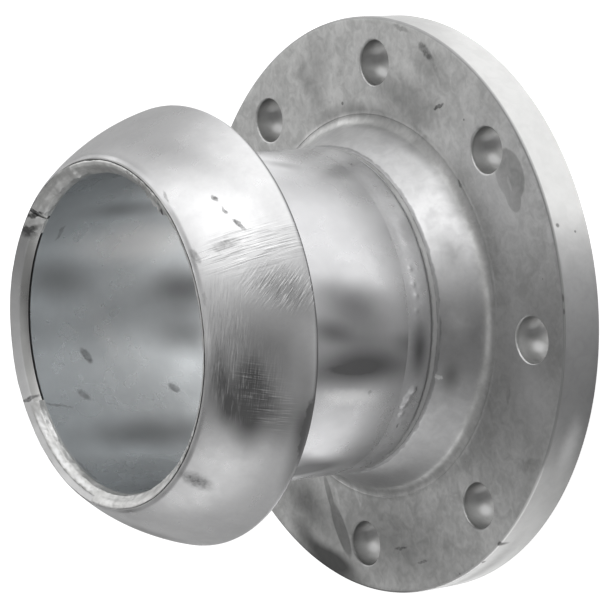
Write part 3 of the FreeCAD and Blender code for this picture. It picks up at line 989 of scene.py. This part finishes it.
# Lumps and spatter on the neck weld: place, reach and height in millimetres.
NECK_WELD_LUMPS = [
    ((-59.4, -53.4, 57.8), 2.6, 0.45),
    ((-57.2, -56.4, 56.6), 3.4, 0.6),
    ((-54.6, -59, 55.4), 3, 0.5),
    ((-62.6, -49.6, 57.6), 2, 0.35),
    ((0.4, -80.1, 57.3), 1.3, 0.4),
    ((-7.7, -79.8, 57.4), 1.3, 0.4),
    ((-13, -79, 57), 1.4, 0.35),
    ((-20, -77.6, 57.2), 1.4, 0.3),
    ((-30, 74.2, 56.8), 3, 0.7),
    ((70, 39, 56), 3, 0.6),
]


def make_neck_weld(material):
    weld = turn(
        "neck_weld_bead",
        [
            (BORE_RADIUS, NECK_END), (ROOT_RADIUS, NECK_END), (PIPE_RADIUS, NECK_BEVEL_EDGE),
            *NECK_BEAD, (PIPE_RADIUS, PIPE_BEVEL_EDGE), (ROOT_RADIUS, PIPE_START),
            (BORE_RADIUS, PIPE_START),
        ],
        NECK_WELD_STEPS,
        pitch=1.2,
    )

    def crown(radius, height):
        """Full on the bead's crown and nothing at its toe."""
        return (radius - PIPE_RADIUS - 0.02) / 0.3

    roughen(weld, 6.0, 0.14, crown, middle=0.5)
    roughen(weld, 2.5, 0.06, crown, middle=0.5)
    pull(weld, NECK_WELD_LUMPS, from_axis)
    smooth(weld, 40)
    hand_over(weld, "neck_weld", material)


def make_ball(material):
    round_height = BALL_BACK + BACK_ROUND
    round_radius = math.sqrt((BALL_RADIUS - BACK_ROUND) ** 2 - (round_height - BALL_CENTRE) ** 2)
    centre = (0.0, BALL_CENTRE)
    rise = angle_at(centre, (round_radius, round_height))
    mouth = angle_at(centre, MOUTH_OUTER)
    hollow = [
        math.degrees(math.asin((height - BALL_CENTRE) / HOLLOW_RADIUS))
        for height in (LIP_BOTTOM, HOLLOW_BACK)
    ]
    ball = turn(
        "ball_shell_pressing",
        [
            (SEAT_RADIUS, BALL_BACK),
            *arc((round_radius, round_height), BACK_ROUND, -90, rise, 8),
            *arc(centre, BALL_RADIUS, rise, mouth, 44)[1:],
            MOUTH_INNER, (BORE_RADIUS, LIP_BOTTOM), (SEAT_RADIUS, LIP_BOTTOM),
            *arc(centre, HOLLOW_RADIUS, *hollow, 14), (SEAT_RADIUS, HOLLOW_BACK),
        ],
        BALL_STEPS,
        rounds=LIP_ROUNDS,
        pitch=2.4,
    )

    def outside(radius, height):
        """Full on the outside of the ball and nothing in the hollow."""
        return math.hypot(radius, height - BALL_CENTRE) - BALL_RADIUS + 1.0

    def cut_face(radius, height):
        """Full on the lip's sheared face alone."""
        from_ball = BALL_RADIUS - math.hypot(radius, height - BALL_CENTRE)
        return 1.0 if height > MOUTH_INNER[1] - 0.6 and from_ball > -0.1 and radius < 82.5 else 0.0

    roughen(ball, 38.0, 0.25, outside)
    roughen(ball, 16.0, 0.9, cut_face, detail=2)
    smooth(ball)
    hand_over(ball, "ball_shell", material)


def make_back_weld(material):
    toe = (PIPE_RADIUS, BALL_BACK - BACK_WELD_LEG)
    top = (PIPE_RADIUS + BACK_WELD_LEG, BALL_BACK)
    middle = ((toe[0] + top[0]) / 2 + 0.6, (toe[1] + top[1]) / 2 - 0.6)
    weld = turn(
        "ball_back_weld_bead",
        [(PIPE_RADIUS, BALL_BACK), toe, middle, top],
        BACK_WELD_STEPS,
        rounds=[(middle, 2.5, 4)],
        pitch=1.0,
    )

    def crown(radius, height):
        """Nothing where the bead meets the pipe and the ball."""
        return (radius - PIPE_RADIUS - 0.2) * (BALL_BACK - height - 0.2) / 2

    roughen(weld, 7.0, 0.6, crown)
    smooth(weld, 40)
    hand_over(weld, "ball_back_weld", material)


def mouth_bead_section(toe, rise, rounding):
    """Section of a bead from the pipe's end over the lip's inner corner to its toe."""
    slope = math.atan2(MOUTH_OUTER[1] - MOUTH_INNER[1], MOUTH_OUTER[0] - MOUTH_INNER[0])

    def on_lip(along, above):
        return (
            MOUTH_INNER[0] + along * math.cos(slope) - above * math.sin(slope),
            MOUTH_INNER[1] + along * math.sin(slope) + above * math.cos(slope),
        )

    crown = on_lip(0.0, rise)
    inner_toe = (BORE_RADIUS - 0.3, LIP_BOTTOM)
    belly = (
        (crown[0] + inner_toe[0]) / 2 - rounding * 0.87,
        (crown[1] + inner_toe[1]) / 2 + rounding * 0.5,
    )
    return [
        (BORE_RADIUS, PIPE_END), (PIPE_RADIUS, PIPE_END), (PIPE_RADIUS, LIP_BOTTOM),
        (BORE_RADIUS, LIP_BOTTOM), MOUTH_INNER, on_lip(toe, 0.0), on_lip(toe * 0.93, rise * 0.6),
        on_lip(toe * 0.6, rise * 1.3), on_lip(toe * 0.25, rise * 1.35), crown, belly, inner_toe,
    ]


# Runs of the mouth weld: name, start angle, sweep, reach of the toe over the lip, rise, rounding.
MOUTH_WELD_RUNS = [
    ("mouth_weld_narrow_run", MOUTH_WELD_START, 52, 1.5, 0.25, 0.5),
    ("mouth_weld_full_run", 151, 155, 4.4, 0.5, 0.7),
    ("mouth_weld_thick_run", 304, 54, 4.1, 1, 1),
    ("mouth_weld_bead", 356, 31, 4.3, 0.3, 0.5),
]
# The weld's thick places and the drip of zinc on it: place, reach and height in millimetres.
MOUTH_WELD_LUMPS = [
    ((46.3, -59, 175.2), 5, 2.6),
    ((42.6, -61.8, 175.6), 3.4, 2.6),
    ((50.5, -55.4, 175.8), 4, 1.4),
    ((40.2, -63.4, 175.8), 2.6, 2.2),
    ((-15.5, 74.4, 175.5), 5, 1.2),
    ((76.5, -2, 176), 5, 0.8),
    ((74, -18, 176), 8, 0.8),
    ((-60, 47, 176), 6, 0.6),
]


def make_mouth_weld(material):
    runs = [
        turn(
            name, mouth_bead_section(toe, rise, rounding), int(sweep * MOUTH_STEPS_PER_DEGREE),
            pitch=0.6, start=start, extent=sweep,
        )
        for name, start, sweep, toe, rise, rounding in MOUTH_WELD_RUNS
    ]
    weld = runs[-1]
    only(weld)
    for run in runs:
        run.select_set(True)
    bpy.ops.object.join()

    def shown(radius, height):
        """Nothing on the seat, and little at the very top, which has to keep its height."""
        return min(height - LIP_BOTTOM + 0.4, 1.0) * min((181.0 - height) / 2.0, 1.0)

    roughen(weld, 6.0, 0.8, shown, middle=0.5)
    roughen(weld, 2.5, 0.4, shown, middle=0.5)
    pull(weld, MOUTH_WELD_LUMPS, lambda place: -from_axis(place))
    smooth(weld, 50)
    hand_over(weld, "mouth_weld", material)


def make_mouth_tack(material):
    tack = turn(
        "mouth_tack_bead", mouth_bead_section(4.2, 0.4, 0.4), TACK_STEPS, pitch=0.6,
        start=TACK_START, extent=TACK_SWEEP,
    )

    def shown(radius, height):
        """Nothing on the seat."""
        return min(height - LIP_BOTTOM, 1.0)

    roughen(tack, 4.0, 0.6, shown, middle=0.5)
    smooth(tack, 50)
    hand_over(tack, "mouth_tack_weld", material)


# ---- stage

FLOOR_SIZE = 12.0
FLOOR_GAP = 0.0002
FLOOR_COLOUR = (0.8, 0.8, 0.8, 1)
FLOOR_GLOW = 0.82
STUDIO_BASE = 0.1
LIGHT_TIGHTNESS = 14.0
# Soft lights of the studio: right, up and front seen from the camera, and strength.
STUDIO_LIGHTS = [
    (-0.812, 0.581, 0.055, 0.725),
    (-0.08, 0.493, 0.866, 0.688),
    (-0.922, -0.005, -0.388, 0.49),
    (-0.413, 0.872, 0.261, 1.036),
    (-0.735, 0.523, -0.43, 1.16),
    (0.001, -0.964, 0.265, 0.829),
    (0.083, 0.831, 0.55, 1.676),
    (-0.16, -0.939, -0.305, 0.737),
    (0.521, 0.464, 0.717, 0.675),
    (-0.44, -0.15, 0.885, 0.55),
    (-0.93, -0.33, 0.2, 0.4),
]
# Bright patches of the floor as the metal shows them: angle round the object in degrees,
# strength near the object and strength further out.
FLOOR_PATCHES = [
    (-200, 0.84, 0),
    (-170, 0.61, 0),
    (-80, 0.92, 0),
    (-50, 1, 1),
    (-20, 0, 0.92),
    (10, 0.98, 0),
    (110, 1, 0),
]
PATCH_TIGHTNESS = 10.0
# Strength of the floor under the bolt holes, the share that the part's shadow takes from
# the patches, and the distances in metres at which the near and far strengths hold.
HOLE_FLOOR = 0.75
COVERED_SHARE = -0.65
NEAR_FLOOR = 0.19
FAR_FLOOR = 0.30
# Widths in millimetres of the soft borders: of the bore's edge, before the holes, at the rim.
BORE_BORDER = 6.0
HOLE_BORDER = 2.0
RIM_BORDER = 6.0


def glow_towards(tree, direction, aim, tightness):
    """Soft glow that is 1 in the direction of aim and fades away from it."""
    facing = aligned(tree, direction, aim)
    return maths(tree, "EXPONENT", maths(tree, "MULTIPLY_ADD", facing, tightness, -tightness))


def make_world():
    world = bpy.data.worlds.new("studio")
    bpy.context.scene.world = world
    world.use_nodes = True
    tree = world.node_tree
    tree.nodes.clear()
    direction = node(tree, "ShaderNodeTexCoord").outputs["Generated"]
    light = STUDIO_BASE
    for right, up, front, strength in STUDIO_LIGHTS:
        aim = (PHOTO_RIGHT * right + PHOTO_UP * up + PHOTO_FRONT * front).normalized()
        glow = glow_towards(tree, direction, aim, LIGHT_TIGHTNESS)
        light = maths(tree, "MULTIPLY_ADD", glow, strength, light)
    strength = maths(tree, "MAXIMUM", light, light_path(tree)[1])
    background = node(tree, "ShaderNodeBackground", {"Color": (1, 1, 1, 1), "Strength": strength})
    output = node(tree, "ShaderNodeOutputWorld")
    tree.links.new(background.outputs[0], output.inputs["Surface"])


def floor_patches(tree):
    """Brightness of the floor as the metal reflects it, at most 1."""
    place = node(tree, "ShaderNodeTexCoord").outputs["Object"]
    direction = vectors(tree, "NORMALIZE", place)
    distance = length_of(tree, place)
    patches = 0.0
    for angle, near_strength, far_strength in FLOOR_PATCHES:
        aim = (math.cos(math.radians(angle)), math.sin(math.radians(angle)), 0.0)
        glow = glow_towards(tree, direction, aim, PATCH_TIGHTNESS)
        strength = ramp(tree, distance, NEAR_FLOOR, FAR_FLOOR, near_strength, far_strength)
        patches = maths(tree, "MULTIPLY_ADD", glow, strength, patches)
    patches = maths(tree, "MINIMUM", patches, 1.0)
    hole_edge = BOLT_CIRCLE_RADIUS - HOLE_RADIUS - HOLE_BORDER
    past_bore = fade(tree, distance, (BORE_RADIUS, BORE_RADIUS + BORE_BORDER))
    under_holes = fade(tree, distance, (hole_edge, hole_edge + HOLE_BORDER))
    open_floor = fade(tree, distance, (FLANGE_RADIUS - RIM_BORDER, FLANGE_RADIUS))
    covered = maths(tree, "SUBTRACT", past_bore, under_holes)
    patches = times(tree, patches, maths(tree, "MULTIPLY_ADD", covered, COVERED_SHARE, 1.0))
    beneath = maths(tree, "SUBTRACT", under_holes, open_floor)
    fill = maths(tree, "SUBTRACT", HOLE_FLOOR, patches)
    return maths(tree, "MULTIPLY_ADD", beneath, fill, patches)


def make_floor():
    bpy.ops.object.select_all(action="DESELECT")
    bpy.ops.mesh.primitive_plane_add(size=FLOOR_SIZE, location=(0, 0, -FLOOR_GAP))
    floor = bpy.context.object
    floor.name = "studio_floor"
    material = bpy.data.materials.new("pale_floor")
    material.use_nodes = True
    tree = material.node_tree
    tree.nodes.clear()
    matt = node(tree, "ShaderNodeBsdfDiffuse", {"Color": FLOOR_COLOUR})
    path, seen = light_path(tree)
    shown = times(tree, path["Is Glossy Ray"], floor_patches(tree))
    strength = maths(tree, "MULTIPLY_ADD", seen, FLOOR_GLOW, shown)
    glow = node(tree, "ShaderNodeEmission", {"Color": (1, 1, 1, 1), "Strength": strength})
    both = node(tree, "ShaderNodeAddShader", {0: matt.outputs[0], 1: glow.outputs[0]})
    output = node(tree, "ShaderNodeOutputMaterial")
    tree.links.new(both.outputs[0], output.inputs["Surface"])
    floor.data.materials.append(material)


bpy.context.scene.view_settings.view_transform = "Standard"
set_camera()
make_world()
make_floor()

flange_zinc = zinc(
    "galvanised_flange", (0.52, 0.522, 0.515), (0.76, 0.76, 0.752), 0.44, upward,
    mottle=(26.0, 6.5, 2.2), amounts=(0.45, 0.5, 0.22), twist=0.9,
    shades=FLANGE_SHADES, crisp_marks=FLANGE_FILMS, stains_and_shadows=FLANGE_STAINS, scuffs_and_highlights=FLANGE_SCUFFS,
    tint=flange_tint, pitting=0.7,
)
pipe_zinc = zinc(
    "galvanised_pipe", (0.60, 0.60, 0.61), (0.70, 0.70, 0.71), 0.28, from_axis,
    mottle=(40.0, 14.0, 2.4), amounts=(0.6, 0.3, 0.06), twist=0.2, spread=0.02,
    shades=PIPE_PAINTED_SHADE, stains_and_shadows=PIPE_STAINS, scuffs_and_highlights=PIPE_SCUFFS_AND_LIGHT,
    tint=bore_light_and_tint, bump=0.35, paler_level=0.96,
)
ball_zinc = zinc(
    "galvanised_ball", (0.63, 0.63, 0.635), (0.74, 0.74, 0.745), 0.30, from_ball_centre,
    mottle=(34.0, 9.0, 2.0), amounts=(0.5, 0.3, 0.15), twist=0.3, spread=0.03,
    shades=BALL_SHADES, stains_and_shadows=BALL_STAINS_AND_SHADOWS, fields=BALL_FIELDS, tint=lip_tint, paler_level=0.92,
)
neck_weld_zinc = zinc(
    "galvanised_neck_weld", (0.58, 0.58, 0.59), (0.70, 0.70, 0.71), 0.31, from_axis,
    mottle=(20.0, 5.0, 1.4), amounts=(0.5, 0.3, 0.2), shades=NECK_WELD_PAINTED_REFLECTION,
    stains_and_shadows=NECK_WELD_STAINS, tint=neck_weld_tint, bump=0.4,
)
mouth_weld_zinc = zinc(
    "galvanised_mouth_weld", (0.58, 0.58, 0.57), (0.84, 0.84, 0.83), 0.48, from_axis,
    mottle=(12.0, 5.0, 1.6), shades=MOUTH_WELD_SHADES, crisp_marks=MOUTH_WELD_DARK_SPOTS,
    stains_and_shadows=MOUTH_WELD_SHADOWS_AND_STAINS, scuffs_and_highlights=MOUTH_WELD_HIGHLIGHTS, bump=0.9, paler_level=0.97,
)

make_flange(flange_zinc)
make_pipe(pipe_zinc)
make_neck_weld(neck_weld_zinc)
make_ball(ball_zinc)
make_back_weld(neck_weld_zinc)
make_mouth_weld(mouth_weld_zinc)
make_mouth_tack(mouth_weld_zinc)

bpy.context.view_layer.update()
